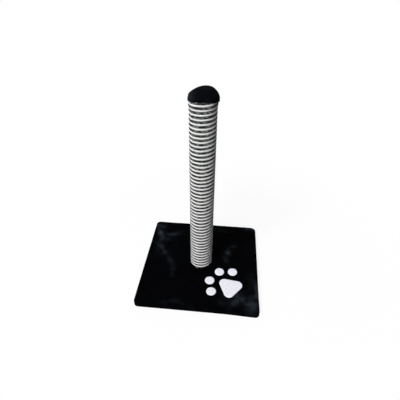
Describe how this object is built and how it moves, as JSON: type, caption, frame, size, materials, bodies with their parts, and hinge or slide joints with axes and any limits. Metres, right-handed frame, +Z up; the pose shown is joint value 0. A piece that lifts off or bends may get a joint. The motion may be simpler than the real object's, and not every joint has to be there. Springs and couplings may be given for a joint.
{
  "type": "cat scratching post",
  "caption": "Free-standing cat scratching post: square plush-covered base with a paw applique, upright wound with a pale and a dark rope, padded plush cap.",
  "frame": {"origin": "on the floor under the middle of the base", "axes": "+Z up along the post, -Y towards the front, where the paw lies front right"},
  "size_m": [0.38, 0.38, 0.6135],
  "materials": {
    "black_plush": "short pile",
    "white_plush": "short pile",
    "light_rope": "laid rope",
    "dark_rope": "laid rope",
    "wadding": "loose fibre",
    "fibreboard": "raw board",
    "tube_card": "spiral wound",
    "zinc_steel": "zinc plated",
    "staple_steel": "galvanised wire"
  },
  "bodies": {
    "root": {"base_board": "fibreboard", "base_cover": "black_plush", "base_staples": "staple_steel", "paw_pad": "white_plush", "paw_toe_inner_left": "white_plush", "paw_toe_inner_right": "white_plush", "paw_toe_outer_left": "white_plush", "paw_toe_outer_right": "white_plush", "post_bolt": "zinc_steel", "bolt_washer": "zinc_steel", "tee_nut": "zinc_steel", "lower_plug": "fibreboard", "lower_plug_brads": "staple_steel", "upper_plug": "fibreboard", "upper_plug_brads": "staple_steel", "post_tube": "tube_card", "rope_dark_lower": "dark_rope", "rope_dark_upper": "dark_rope", "rope_light_lower": "light_rope", "rope_light_upper": "light_rope", "cap_padding": "wadding", "cap_cover": "black_plush", "cap_staples": "staple_steel"}
  },
  "joints": []
}
